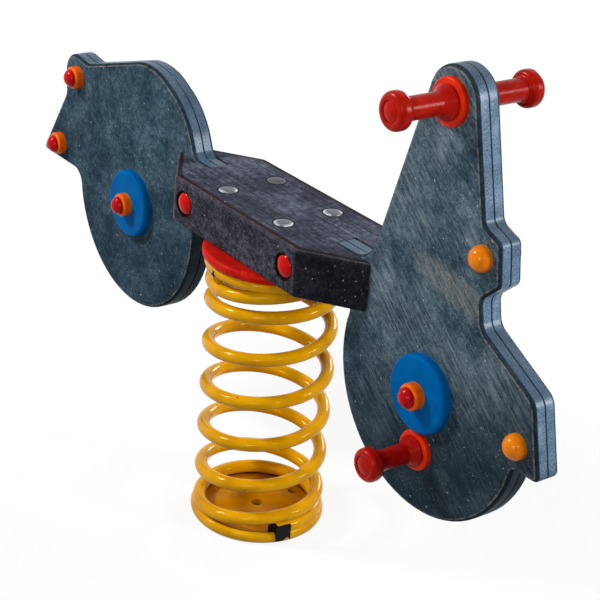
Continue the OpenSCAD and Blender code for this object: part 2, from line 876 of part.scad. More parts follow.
module hub_cover_rings() color(orange) hub_places() cover_ring();
module hub_cover_domes() color(red) hub_places() cover_dome();
module hub_bolts() color(zinc) cover_bolts(hub_spots, hub_grip);
module hub_nuts() color(zinc) cover_nuts(hub_spots, hub_grip);
module tail_cover_rings() color(orange) tail_places() cover_ring();
module tail_cover_domes() color(red) tail_places() cover_dome();
module tail_bolts() color(zinc) cover_bolts(tail_spots, tail_grip);
module tail_nuts() color(zinc) cover_nuts(tail_spots, tail_grip);

module front_dome_bases()
    color(orange)
        front_dome_places()
            difference() {
                cylinder(d = lamp_base_d, h = lamp_base_t);
                translate([0, 0, -overrun])
                    cylinder(d = bolt_d + 2 * fit_gap, h = lamp_base_t + 2 * overrun);
            }

module front_domes()
    color(orange)
        front_dome_places()
            difference() {
                union() {
                    cylinder(d = lamp_d, h = lamp_skirt);
                    translate([0, 0, lamp_skirt])
                        round_cap(lamp_d / 2, lamp_h - lamp_skirt);
                }
                translate([0, 0, -overrun])
                    cylinder(d = lamp_base_d + 2 * fit_gap, h = lamp_skirt + overrun);
                translate([0, 0, lamp_skirt - fit_gap])
                    round_cap(lamp_base_d / 2 - lamp_wall, lamp_h - lamp_skirt - lamp_wall + fit_gap);
            }

module front_dome_bolts() color(zinc) cover_bolts(front_dome_spots, lamp_grip);
module front_dome_nuts() color(zinc) cover_nuts(front_dome_spots, lamp_grip);

echo(wire_self_gap = wire_self_gap, top_floor_z = top_floor_z, seat_z = seat_z);

base_plate();
base_clip();
spring();
top_clip();
top_plate();
plate_screws();
mounting_disc();
seat_tee_nuts();
seat();
seat_bolts();
seat_clamp_bolts();
seat_clamp_washers();
seat_clamp_nuts();
seat_caps();
front_panel_right();
front_panel_left();
rear_panel_right();
rear_panel_left();
handle_right();
handle_left();
handle_rosettes();
handle_plugs();
handle_rod();
handle_nuts();
peg_right();
peg_left();
peg_rosettes();
peg_plugs();
peg_rod();
peg_nuts();
front_hub_disc_right();
front_hub_disc_left();
rear_hub_disc_right();
rear_hub_disc_left();
hub_cover_rings();
hub_cover_domes();
hub_bolts();
hub_nuts();
tail_cover_rings();
tail_cover_domes();
tail_bolts();
tail_nuts();
front_dome_bases();
front_domes();
front_dome_bolts();
front_dome_nuts();
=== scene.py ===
"""Looks of a playground spring rider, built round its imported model.

X points forward, Y to the rider's left and Z up, in metres, from the middle of the ground plate's underside.
The milled panels, the seat's skin, the wire of the coil and the rolled rims that hold its two ends are built
here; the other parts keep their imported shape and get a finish.
"""
import logging
import math
from dataclasses import dataclass
from enum import Enum

import bmesh
import bpy
from mathutils import Matrix, Vector


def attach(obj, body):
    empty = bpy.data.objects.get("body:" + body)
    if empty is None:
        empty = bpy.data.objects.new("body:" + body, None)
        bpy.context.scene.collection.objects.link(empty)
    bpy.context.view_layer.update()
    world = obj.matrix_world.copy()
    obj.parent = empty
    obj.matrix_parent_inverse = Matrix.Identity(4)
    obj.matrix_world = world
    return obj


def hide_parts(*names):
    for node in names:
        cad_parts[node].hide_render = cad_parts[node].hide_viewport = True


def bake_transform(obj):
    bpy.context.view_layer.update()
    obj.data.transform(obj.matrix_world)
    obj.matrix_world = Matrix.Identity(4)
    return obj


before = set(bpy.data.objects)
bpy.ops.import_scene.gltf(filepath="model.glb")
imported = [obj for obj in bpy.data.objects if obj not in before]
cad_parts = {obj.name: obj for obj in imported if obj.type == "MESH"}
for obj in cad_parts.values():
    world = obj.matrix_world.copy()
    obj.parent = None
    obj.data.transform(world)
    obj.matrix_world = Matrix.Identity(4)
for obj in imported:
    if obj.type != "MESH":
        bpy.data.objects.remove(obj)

LOG = logging.getLogger("spring_rider")
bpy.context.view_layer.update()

# Points nearer than TOUCH count as one
MM = 0.001
TOUCH = 0.01 * MM
FULL_TURN = 2 * math.pi

Rgba = tuple[float, float, float, float]
Triple = tuple[float, float, float]
Stops = tuple[tuple[float, Rgba], ...]

ORIGIN: Triple = (0.0, 0.0, 0.0)
UPRIGHT: Triple = (0.0, 0.0, 1.0)
WHITE: Rgba = (1.0, 1.0, 1.0, 1.0)
BLACK: Rgba = (0.0, 0.0, 0.0, 1.0)

# Places of the four seat bolts on each side of the seat's middle, and the radius of their heads
SEAT_BOLT_X = 0.068
SEAT_BOLT_Y = 0.043
SEAT_BOLT_R = 0.014


class Side(Enum):
    """Sides of the rider, by the sign of Y."""

    RIGHT = -1
    LEFT = 1


class End(Enum):
    """Ends of the rider, by the sign of X."""

    FRONT = 1
    REAR = -1


class Body(Enum):
    """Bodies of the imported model."""

    BASE = "base"
    SPRING = "spring"
    RIDER = "rider"


class Slot(Enum):
    """Names of three material slots."""

    PAINT = "yellow_paint"
    SEAT = "charcoal_board"
    PANEL = "slate_board"


def linear(channel: int) -> float:
    """Turn an 8-bit display level into a linear one."""
    level = channel / 255
    return level / 12.92 if level <= 0.04045 else ((level + 0.055) / 1.055) ** 2.4


def rgb(red: int, green: int, blue: int) -> Rgba:
    """Turn an 8-bit display colour into the linear colour that shaders take."""
    return (linear(red), linear(green), linear(blue), 1.0)


class Value:
    """One output of a shader graph that takes part in Python arithmetic."""

    def __init__(self, graph: "Graph", socket: bpy.types.NodeSocket) -> None:
        """Wrap a socket of a graph."""
        self.graph = graph
        self.socket = socket

    def _maths(self, operation: str, *operands: "Value | float") -> "Value":
        """Feed operands to a new math node."""
        return self.graph.node("ShaderNodeMath", {"operation": operation}, dict(enumerate(operands)))

    def __add__(self, other: "Value | float") -> "Value":
        """Sum of two values."""
        return self._maths("ADD", self, other)

    def __sub__(self, other: "Value | float") -> "Value":
        """Difference of two values."""
        return self._maths("SUBTRACT", self, other)

    def __rsub__(self, other: float) -> "Value":
        """Difference of a number and this value."""
        return self._maths("SUBTRACT", other, self)

    def __mul__(self, other: "Value | float") -> "Value":
        """Product of two values."""
        return self._maths("MULTIPLY", self, other)

    def __truediv__(self, other: "Value | float") -> "Value":
        """Quotient of two values."""
        return self._maths("DIVIDE", self, other)

    def __abs__(self) -> "Value":
        """Size of the value without its sign."""
        return self._maths("ABSOLUTE", self)

    __radd__ = __add__
    __rmul__ = __mul__

    def beside(self, name: str) -> "Value":
        """Another output of the same node."""
        return Value(self.graph, self.socket.node.outputs[name])

    def least(self, other: "Value | float") -> "Value":
        """Smaller of two values."""
        return self._maths("MINIMUM", self, other)

    def most(self, other: "Value | float") -> "Value":
        """Larger of two values."""
        return self._maths("MAXIMUM", self, other)

    def rise(self, low: float, high: float) -> "Value":
        """Smooth step from 0 at the low value to 1 at the high one."""
        return self.graph.node("ShaderNodeMapRange", {"interpolation_type": "SMOOTHSTEP"},
                               {"Value": self, "From Min": low, "From Max": high})

    def fall(self, low: float, high: float) -> "Value":
        """Smooth step from 1 at the low value to 0 at the high one."""
        return 1.0 - self.rise(low, high)

    def band(self, start: float, full: float, fade: float, end: float) -> "Value":
        """Mask that rises from the start to the full value and falls from the fade to the end."""
        return self.rise(start, full) * self.fall(fade, end)


Inputs = dict[str, Value | float | Rgba]


def squared(u: Value, v: Value) -> Value:
    """Square of a distance, from its two parts."""
    return u * u + v * v


class Graph:
    """A shader tree with one method that adds any node."""

    def __init__(self, tree: bpy.types.NodeTree) -> None:
        """Wrap a node tree."""
        self.tree = tree

    def node(self, kind: str, settings: dict | None = None, inputs: dict | None = None,
             output: int | str = 0) -> Value:
        """Add a node.

        Args:
            kind: Type name of the node.
            settings: Attributes set first; "stops" fills a colour ramp.
            inputs: Values or links, by the name or number of the socket.
            output: Name or number of the output that is returned.

        Returns:
            The chosen output.
        """
        made = self.tree.nodes.new(kind)
        for name, setting in (settings or {}).items():
            if name == "stops":
                self._fill_ramp(made.color_ramp, setting)
            else:
                setattr(made, name, setting)
        for key, value in (inputs or {}).items():
            self.feed(made.inputs[key], value)
        return Value(self, made.outputs[output])

    def feed(self, socket: bpy.types.NodeSocket, value: Value | float | tuple) -> None:
        """Link a value to a socket, or set a constant on it.

        Args:
            socket: Input that is fed.
            value: Output of another node, or the constant.
        """
        if isinstance(value, Value):
            self.tree.links.new(value.socket, socket)
        else:
            socket.default_value = value

    @staticmethod
    def _fill_ramp(ramp: bpy.types.ColorRamp, stops: Stops) -> None:
        """Give a colour ramp its stops.

        Args:
            ramp: Ramp with two elements or more.
            stops: Positions and colours, in rising order.
        """
        while len(ramp.elements) < len(stops):
            ramp.elements.new(1.0)
        for element, (position, colour) in zip(ramp.elements, stops):
            element.position = position
            element.color = colour

    def place(self) -> Value:
        """Object coordinates, which are the frame's metres."""
        return self.node("ShaderNodeTexCoord", output="Object")

    def facing(self) -> Value:
        """Direction that the surface faces, in the frame's axes."""
        return self.node("ShaderNodeTexCoord", output="Normal")

    def axes(self, vector: Value) -> tuple[Value, Value, Value]:
        """Split a vector in its X, Y and Z parts."""
        x = self.node("ShaderNodeSeparateXYZ", inputs={"Vector": vector})
        return x, x.beside("Y"), x.beside("Z")

    def fitted(self, vector: Value, sizes: Triple, turn: float = 0.0, centre: Triple = ORIGIN) -> Value:
        """Count coordinates in boxes instead of metres.

        Args:
            vector: Coordinates in metres.
            sizes: Size of a box along each of its axes.
            turn: Turn of the boxes about Y, in degrees.
            centre: Place that becomes the origin.

        Returns:
            Coordinates that grow by 1 from box to box.
        """
        return self.node("ShaderNodeMapping", {"vector_type": "TEXTURE"}, {
            "Vector": vector,
            "Location": centre,
            "Rotation": (0.0, math.radians(turn), 0.0),
            "Scale": sizes,
        })

    def noise(self, vector: Value, size: float, detail: float = 2.0, roughness: float = 0.5) -> Value:
        """Make cloudy noise.

        Args:
            vector: Coordinates.
            size: About the size of one feature.
            detail: Number of finer layers.
            roughness: Strength of each finer layer.

        Returns:
            Noise from 0 to 1, mostly near 0.5.
        """
        return self.node("ShaderNodeTexNoise", inputs={
            "Vector": vector, "Scale": 1.0 / size, "Detail": detail, "Roughness": roughness})

    def streaks(self, vector: Value, sizes: Triple, turn: float = 0.0, detail: float = 3.0,
                roughness: float = 0.5) -> Value:
        """Noise drawn out to the given sizes and turned about Y by some degrees."""
        return self.noise(self.fitted(vector, sizes, turn), 1.0, detail, roughness)

    def specks(self, vector: Value, cell: float, share: float, chance: float) -> Value:
        """Scatter round specks.

        Args:
            vector: Coordinates.
            cell: Size of the cells that hold one speck at most.
            share: Radius of a speck as a share of its cell.
            chance: Share of the cells that hold one.

        Returns:
            Mask that is 1 in a speck.
        """
        near = self.node("ShaderNodeTexVoronoi", inputs={"Vector": vector, "Scale": 1.0 / cell})
        luck = self.node("ShaderNodeSeparateColor", inputs={0: near.beside("Color")})
        return near.fall(0.5 * share, share) * luck.rise(0.98 - chance, 1.0 - chance)

    def seen(self) -> Value:
        """1 for rays that show the background: from the camera, off a mirror or through glass."""
        camera = self.node("ShaderNodeLightPath", output="Is Camera Ray")
        return camera.most(camera.beside("Is Glossy Ray")).most(camera.beside("Is Transmission Ray"))

    def ramp(self, factor: Value, stops: Stops) -> Value:
        """Colour ramp."""
        return self.node("ShaderNodeValToRGB", {"stops": stops}, {"Fac": factor})

    def mix(self, factor: Value | float, under: Value | Rgba, over: Value | Rgba) -> Value:
        """Mix of two colours."""
        return self.node("ShaderNodeMix", {"data_type": "RGBA"}, {"Factor": factor, 6: under, 7: over}, 2)

    def bump(self, height: Value, distance: float, strength: float) -> Value:
        """Bumped normal from a height of 0 to 1 over a real distance."""
        return self.node("ShaderNodeBump", inputs={
            "Strength": strength, "Distance": distance, "Height": height})


@dataclass(frozen=True)
class Finish:
    """A named surface of the rider."""

    name: str

    def material(self) -> bpy.types.Material:
        """Build the material of this finish.

        Returns:
            The new material, with the inputs of its surface shader set or linked.
        """
        made = bpy.data.materials.new(self.name)
        made.use_nodes = True
        graph = Graph(made.node_tree)
        shader = made.node_tree.nodes["Principled BSDF"]
        for socket, value in self.surface(graph).items():
            graph.feed(shader.inputs[socket], value)
        return made

    def surface(self, graph: Graph) -> Inputs:
        """Inputs of the surface shader by name, made in the given graph."""
        raise NotImplementedError


@dataclass(frozen=True)
class Plastic(Finish):
    """Moulded plastic: slightly clouded, finely scuffed, with a soft sheen."""

    colour: Rgba
    shade: Rgba
    roughness: float
    scuff: float
    specular: float
    sheen: Rgba = WHITE
    scuffed: Rgba = rgb(236, 226, 214)

    def surface(self, graph: Graph) -> Inputs:
        """Make a clouded colour with hair-fine scuffs and a fine grain.

        Args:
            graph: Graph of the material.

        Returns:
            Inputs of the surface shader by name.
        """
        place = graph.place()
        cloud = graph.noise(place, size=0.03, detail=4.0, roughness=0.6)
        grain = graph.noise(place, size=0.0009)
        hairs = graph.streaks(place, (0.014, 0.014, 0.0007), turn=35.0).rise(0.6, 0.74)
        colour = graph.ramp(cloud * 0.8 + grain * 0.2, ((0.34, self.shade), (0.6, self.colour)))
        return {
            "Base Color": graph.mix(hairs * self.scuff, colour, self.scuffed),
            "Roughness": self.roughness + cloud * 0.12 + hairs * 0.2 * self.scuff,
            "Specular IOR Level": self.specular,
            "Specular Tint": self.sheen,
            "Normal": graph.bump(grain * 0.5 + hairs * 0.5, distance=0.00012, strength=0.5),
        }


@dataclass(frozen=True)
class Paint(Finish):
    """Powder-coated steel: gloss with a light orange peel, a few chips, and painted shade outside a radius.
    """

    colour: Rgba
    shade: Rgba
    chips: float
    gloss: float = 0.16
    # Painted shade outside the radius rim_shade_r, fading in over rim_shade_edge, in the colour soil
    rim_shade_r: float = 1.0
    rim_shade_edge: float = 0.008
    sheen: Rgba = (1.0, 0.8, 0.3, 1.0)
    chip: Rgba = rgb(90, 58, 22)
    rim_shade_colour: Rgba = rgb(16, 10, 4)

    def surface(self, graph: Graph) -> Inputs:
        """Make a gloss colour with peel, worn haze, painted shade and chips down to brown metal.

        Args:
            graph: Graph of the material.

        Returns:
            Inputs of the surface shader by name.
        """
        place = graph.place()
        x, y, _ = graph.axes(place)
        cloud = graph.noise(place, size=0.05, detail=4.0, roughness=0.6)
        peel = graph.noise(place, size=0.0022, detail=1.0)
        grime = graph.noise(place, size=0.012, detail=5.0, roughness=0.7).rise(0.56, 0.78)
        chips = graph.specks(place, cell=0.011, share=0.16, chance=self.chips)
        # Painted shade outside rim_shade_r, for the shadow that the coil's end turn casts on the dish
        outside = squared(x, y).rise(self.rim_shade_r ** 2, (self.rim_shade_r + self.rim_shade_edge) ** 2)
        painted_rim_shade = outside * (0.8 + grime * 0.2)
        colour = graph.ramp(cloud, ((0.32, self.shade), (0.62, self.colour)))
        colour = graph.mix(grime * 0.06, colour, self.chip)
        colour = graph.mix(painted_rim_shade, colour, self.rim_shade_colour)
        return {
            "Base Color": graph.mix(chips, colour, self.chip),
            "Roughness": 0.08 + cloud * 0.07 + grime * 0.08 + painted_rim_shade * 0.4 + chips * 0.35,
            "Specular IOR Level": self.gloss,
            "Specular Tint": self.sheen,
            "Normal": graph.bump(peel * 0.6 - chips, distance=0.00025, strength=0.25),
        }


@dataclass(frozen=True)
class Zinc(Finish):
    """Zinc-plated steel: grey, satin, lightly stained."""

    colour: Rgba
    stain: Rgba

    def surface(self, graph: Graph) -> Inputs:
        """Make brushed metal with blotches and small dents.

        Args:
            graph: Graph of the material.

        Returns:
            Inputs of the surface shader by name.
        """
        place = graph.place()
        blotch = graph.noise(place, size=0.008, detail=4.0, roughness=0.65)
        brush = graph.streaks(place, (0.02, 0.0005, 0.02), turn=20.0)
        return {
            "Base Color": graph.mix(blotch.rise(0.5, 0.72) * 0.6, self.colour, self.stain),
            "Metallic": 0.7,
            "Roughness": 0.42 + blotch * 0.2 + brush * 0.1,
            "Normal": graph.bump(brush * 0.6 + blotch * 0.4, distance=0.0001, strength=0.5),
        }


@dataclass(frozen=True)
class BoltHead(Zinc):
    """Zinc-plated bolt heads in the seat: dull middle, polished rim with a painted highlight, one of them
    darker.
    """

    rim: Rgba
    x: float = SEAT_BOLT_X
    y: float = SEAT_BOLT_Y
    radius: float = SEAT_BOLT_R

    def surface(self, graph: Graph) -> Inputs:
        """Make plated metal with a painted highlight that brightens towards the rim of each head.

        Args:
            graph: Graph of the material.

        Returns:
            Inputs of the surface shader by name.
        """
        parts = super().surface(graph)
        place = graph.place()
        x, y, _ = graph.axes(place)
        off = squared(abs(x) - self.x, abs(y) - self.y) / self.radius ** 2
        # Painted highlight round the rim of each head, which also lowers the roughness there
        polish_and_highlight = off.band(0.3, 0.9, 0.9, 1.0) * graph.noise(place, size=0.01, detail=3.0).rise(0.4, 0.6)
        # The rear left head is darker, with less of the painted highlight
        grime = x.fall(-0.02, 0.0) * y.rise(0.0, 0.02)
        colour = graph.mix(polish_and_highlight * (0.8 - grime * 0.5), parts["Base Color"], self.rim)
        colour = graph.mix(grime * 0.7, colour, self.stain)
        return parts | {"Base Color": colour, "Roughness": 0.4 - polish_and_highlight * 0.14}


@dataclass(frozen=True)
class Smudge:
    """A worn, earthy smear on the face of a board: middle in X and Z, length, width, and turn about Y."""

    x: float
    z: float
    length: float
    width: float
    turn: float


@dataclass(frozen=True)
class Board(Finish):
    """Milled sheet of recycled plastic: cloudy scuffed face, bright grainy edge, a worn line between them.

    Painted shade darkens the face below low_shade_z, which rises by low_shade_slope along X, and the edge
    below shade_z.
    """

    dark: Rgba
    middle: Rgba
    pale: Rgba
    scuffs: float
    specks: float
    painted_low_shade: float
    low_shade_z: float = 0.28
    low_shade_slope: float = 0.0
    low_shade_fade: float = 0.24
    shade_z: float = 0.33
    shade_fade: float = 0.07
    scuff_turn: float = 40.4
    mottling: Triple = (0.008, 0.008, 0.008)
    thickness: float = 0.019
    smudges: tuple[Smudge, ...] = ()
    low_shade_colour: Rgba = rgb(15, 28, 36)
    scuffed: Rgba = rgb(150, 162, 168)
    scratched: Rgba = rgb(172, 182, 188)
    smeared: Rgba = rgb(164, 156, 140)
    nicked: Rgba = rgb(214, 218, 218)
    edge_dark: Rgba = rgb(48, 72, 94)
    edge_middle: Rgba = rgb(92, 122, 149)
    edge_pale: Rgba = rgb(158, 186, 209)
    edge_shaded: Rgba = rgb(28, 33, 35)
    edge_top_shade: Rgba = rgb(46, 64, 78)
    rounding: Rgba = rgb(24, 34, 44)
    worn: Rgba = rgb(150, 140, 122)
    seam: Rgba = rgb(14, 17, 20)
    sheen: Rgba = (0.3, 0.6, 1.0, 1.0)

    def face(self, graph: Graph, place: Value) -> tuple[Value, Value]:
        """Make the broad face: mottled, darkened by painted shade towards the ground, scuffed, smudged and
        nicked.

        Args:
            graph: Graph of the material.
            place: Coordinates on the board.

        Returns:
            Colour and height of the face.
        """
        x, _, z = graph.axes(place)
        cloud = graph.noise(place, size=0.05, detail=5.0, roughness=0.62)
        drawn = graph.streaks(place, self.mottling, self.scuff_turn, detail=4.0, roughness=0.65)
        mottle = drawn * 0.55 + graph.noise(place, size=0.005, detail=4.0, roughness=0.65) * 0.45
        grain = graph.noise(place, size=0.0012)
        colour = graph.ramp(cloud * 0.3 + mottle * 0.43 + grain * 0.27,
                            ((0.4, self.dark), (0.5, self.middle), (0.61, self.pale)))
        # Painted shade: the face darkens towards the ground
        painted_low_shade = (z - x * self.low_shade_slope).fall(self.low_shade_z, self.low_shade_z + self.low_shade_fade)
        colour = graph.mix(painted_low_shade * self.painted_low_shade, colour, self.low_shade_colour)
        patch = graph.noise(place, size=0.12, detail=3.0, roughness=0.6).rise(0.42, 0.62) * (1.0 - painted_low_shade)
        wear = 0.06 + patch * 0.94
        streak = graph.streaks(place, (0.055, 0.02, 0.0035), self.scuff_turn, detail=5.0, roughness=0.66)
        hairs = graph.streaks(place, (0.026, 0.02, 0.0007), self.scuff_turn - 8.0, roughness=0.6)
        scuff = streak.rise(0.42, 0.72) * wear
        colour = graph.mix(scuff * self.scuffs, colour, self.scuffed)
        colour = graph.mix(hairs.rise(0.58, 0.7) * self.scuffs * wear, colour, self.scratched)
        for smudge in self.smudges:
            box = graph.fitted(place, (smudge.length, 1.0, smudge.width), smudge.turn,
                               centre=(smudge.x, 0.0, smudge.z))
            u, _, w = graph.axes(box)
            patchy = 0.2 + mottle.rise(0.4, 0.62) * 0.3 + streak.rise(0.42, 0.6) * 0.5
            colour = graph.mix(squared(u, w).fall(0.0, 1.0) * patchy * 0.42, colour, self.smeared)
        turned = graph.fitted(place, (0.022, 0.012, 0.007), self.scuff_turn)
        nicks = graph.specks(turned, cell=1.0, share=0.1, chance=self.specks)
        for cell, share in ((0.007, 0.1), (0.0036, 0.13)):
            nicks = nicks.most(graph.specks(place, cell, share, self.specks))
        colour = graph.mix(nicks * 0.8, colour, self.nicked)
        return colour, mottle * 0.4 + grain * 0.3 + scuff * 0.3

    def surface(self, graph: Graph) -> Inputs:
        """Make the face, the edge wall with painted shade low and facing up, painted shade on the rounding,
        the worn line and the dark seam between two sheets.

        Args:
            graph: Graph of the material.

        Returns:
            Inputs of the surface shader by name.
        """
        place = graph.place()
        _, across, z = graph.axes(place)
        depth = abs(across) / self.thickness
        face, height = self.face(graph, place)
        sparkle = graph.noise(place, size=0.0016, detail=3.0, roughness=0.7)
        edge = graph.ramp(sparkle * 0.7 + graph.noise(place, size=0.03, detail=3.0) * 0.3,
                          ((0.36, self.edge_dark), (0.5, self.edge_middle), (0.7, self.edge_pale)))
        shade = z.fall(self.shade_z, self.shade_z + self.shade_fade)
        edge = graph.mix(shade * 0.9, edge, self.edge_shaded)
        # Painted shade on the edges that face upwards
        _, _, upward = graph.axes(graph.facing())
        edge = graph.mix(upward.rise(0.3, 0.95) * 0.6, edge, self.edge_top_shade)
        wall = depth.fall(0.7, 0.8)
        colour = graph.mix(wall, face, edge)
        # Painted shade in a band on the rounding between face and edge wall
        colour = graph.mix(depth.band(0.68, 0.78, 0.95, 0.985) * 0.75, colour, self.rounding)
        broken = graph.noise(place, size=0.01, detail=4.0, roughness=0.7).rise(0.42, 0.6)
        line = depth.band(0.955, 0.975, 0.99, 0.9999)
        colour = graph.mix(line * (0.08 + broken * 0.42), colour, self.worn)
        colour = graph.mix(depth.fall(0.03, 0.1) * 0.95, colour, self.seam)
        return {
            "Base Color": colour,
            "Roughness": 0.5 + height * 0.2 - wall * 0.14,
            "Specular IOR Level": 0.015,
            "Specular Tint": self.sheen,
            "Coat Weight": wall * (1.0 - shade) * 0.4,
            "Coat Roughness": 0.3,
            "Normal": graph.bump(height + sparkle * wall * 0.8, distance=0.0003, strength=0.45),
        }


@dataclass(frozen=True)
class SeatBoard(Finish):
    """Thick dark board of the seat: brushed top, grainy sides, worn edges and painted shade round its
    fasteners.

    The slanted faces of its pointed ends start at bevel_x and look along bevel_slope, in X and Y. A ring of
    painted shade round a fastener is counted in radii of the fastener.
    """

    top_z: float
    half_width: float
    bevel_x: float
    bevel_slope: tuple[float, float]
    edge_r: float = 0.005
    bolt_x: float = SEAT_BOLT_X
    bolt_y: float = SEAT_BOLT_Y
    bolt_r: float = SEAT_BOLT_R
    bolt_gap: float = 1.24
    cap_x: float = 0.124
    cap_z: float = 0.47816
    cap_r: float = 0.01825
    cap_gap: float = 1.16
    inner_gap: float = 1.06
    brushed: Stops = ((0.39, rgb(26, 28, 39)), (0.5, rgb(56, 60, 73)), (0.62, rgb(108, 113, 131)))
    milled: Stops = ((0.38, rgb(21, 20, 26)), (0.5, rgb(51, 51, 59)), (0.62, rgb(96, 95, 107)))
    scratched: Rgba = rgb(150, 148, 156)
    shoulder_highlight: Rgba = rgb(92, 88, 98)
    worn_line: Rgba = rgb(42, 22, 16)
    worn_corner: Rgba = rgb(150, 142, 132)
    chamfer_shade: Rgba = rgb(13, 12, 17)
    gap_shade: Rgba = rgb(9, 8, 9)
    nicked: Rgba = rgb(206, 206, 210)
    sheen: Rgba = (0.6, 0.62, 1.0, 1.0)

    def inside_bevel(self, reach: Value, breadth: Value) -> Value:
        """Distance from the slanted faces of the pointed ends, by the distances from the seat's middle."""
        along, across = self.bevel_slope
        return self.bevel_x * along + self.half_width * across - (reach * along + breadth * across)

    def gap(self, off: Value, radius: float, outer: float) -> Value:
        """Ring of painted shade round a fastener, by the square of the distance from its middle."""
        return off.fall((self.inner_gap * radius) ** 2, (outer * radius) ** 2)

    def surface(self, graph: Graph) -> Inputs:
        """Make brushed streaks along the seat, worn lines along its edges, painted shade and pale specks.

        Args:
            graph: Graph of the material.

        Returns:
            Inputs of the surface shader by name.
        """
        place = graph.place()
        x, y, z = graph.axes(place)
        reach = abs(x)
        breadth = abs(y)
        sink = self.top_z - z
        top = sink.fall(0.0002, 0.0022)
        cloud = graph.noise(place, size=0.06, detail=4.0, roughness=0.6)
        mottle = graph.noise(place, size=0.007, detail=4.0, roughness=0.65)
        grain = graph.noise(place, size=0.0016)
        brush = graph.streaks(place, (0.12, 0.0022, 0.0022), detail=5.0, roughness=0.68)
        hairs = graph.streaks(place, (0.05, 0.0007, 0.0007)).rise(0.56, 0.72)
        upper = graph.ramp(cloud * 0.3 + brush * 0.35 + mottle * 0.35, self.brushed)
        lower = graph.ramp(cloud * 0.25 + mottle * 0.4 + grain * 0.35, self.milled)
        colour = graph.mix(top, lower, graph.mix(hairs * 0.35, upper, self.scratched))

        bevel = self.inside_bevel(reach, breadth)
        inset = (self.half_width - breadth).least(bevel) / self.edge_r
        broken = graph.noise(place, size=0.02, detail=4.0, roughness=0.7)
        # Painted highlight: a lighter band along the rounded top edges
        shoulder_highlight = inset.fall(0.9, 1.1) * (sink / self.edge_r).fall(1.0, 1.5)
        colour = graph.mix(shoulder_highlight * (0.08 + broken * 0.35), colour, self.shoulder_highlight)
        line = inset.band(0.55, 0.75, 1.5, 2.2) * top
        colour = graph.mix(line * broken.rise(0.2, 0.42) * 0.9, colour, self.worn_line)
        flank = breadth.rise(0.94 * self.half_width, 0.98 * self.half_width)
        corner = flank * (x + self.bevel_x).band(-0.011, -0.004, -0.002, 0.005)
        colour = graph.mix(corner * (0.12 + broken.rise(0.36, 0.62) * 0.6), colour, self.worn_corner)
        # Painted shade on the front chamfer
        chamfer = bevel.fall(0.0004, 0.002) * x.rise(0.0, 0.02) * (1.0 - top)
        colour = graph.mix(chamfer * 0.7, colour, self.chamfer_shade)

        # Painted shade in the gaps round the bolt heads on top and round the caps on the sides
        bolt = self.gap(squared(reach - self.bolt_x, breadth - self.bolt_y), self.bolt_r, self.bolt_gap)
        cap = self.gap(squared(reach - self.cap_x, z - self.cap_z), self.cap_r, self.cap_gap)
        colour = graph.mix((bolt * top).most(cap * (1.0 - top)) * 0.85, colour, self.gap_shade)

        leaning = graph.fitted(place, (0.013, 0.018, 0.018), turn=62.0)
        nicks = graph.specks(leaning, cell=1.0, share=0.12, chance=0.16)
        for cell, share, chance in ((0.009, 0.09, 0.2), (0.004, 0.13, 0.1)):
            nicks = nicks.most(graph.specks(place, cell, share, chance))
        upright = graph.fitted(place, (0.0045, 0.0045, 0.013), turn=30.0)
        nicks = nicks.most(graph.specks(upright, cell=1.0, share=0.17, chance=0.2) * chamfer)
        return {
            "Base Color": graph.mix(nicks * (0.75 - top * 0.35), colour, self.nicked),
            "Roughness": 0.5 + mottle * 0.16 - top * 0.06,
            "Specular IOR Level": 0.02,
            "Specular Tint": self.sheen,
            "Normal": graph.bump(brush * top * 0.6 + mottle * 0.4, distance=0.0004, strength=0.5),
        }


@dataclass(frozen=True)
class Ground(Finish):
    """Pale studio floor that keeps the shadow and fades to white for the camera and for reflections.

    It glows by the share glow within the radius near and fully from the radius far; under the ground plate,
    within the radius covered, it doesn't glow.
    """

    colour: Rgba
    bounce: Rgba
    glow: float
    near: float
    far: float
    covered: float = 0.1
    grained: Rgba = rgb(226, 226, 224)

    def surface(self, graph: Graph) -> Inputs:
        """Make a matt floor whose glow rises with distance, for rays that show the background.

        Args:
            graph: Graph of the material.

        Returns:
            Inputs of the surface shader by name.
        """
        place = graph.place()
        x, y, _ = graph.axes(place)
        off = squared(x, y)
        away = self.glow + off.rise(self.near ** 2, self.far ** 2) * (1.0 - self.glow)
        seen = graph.seen() * off.rise(0.9 * self.covered ** 2, self.covered ** 2)
        grain = graph.noise(place, size=0.004, detail=3.0)
        pale = graph.mix(grain * 0.06, self.colour, self.grained)
        return {
            "Base Color": graph.mix(away * seen, graph.mix(seen, self.bounce, pale), BLACK),
            "Roughness": 0.9,
            "Specular IOR Level": 0.1,
            "Emission Color": graph.mix(away * seen, BLACK, WHITE),
            "Emission Strength": 1.0,
        }


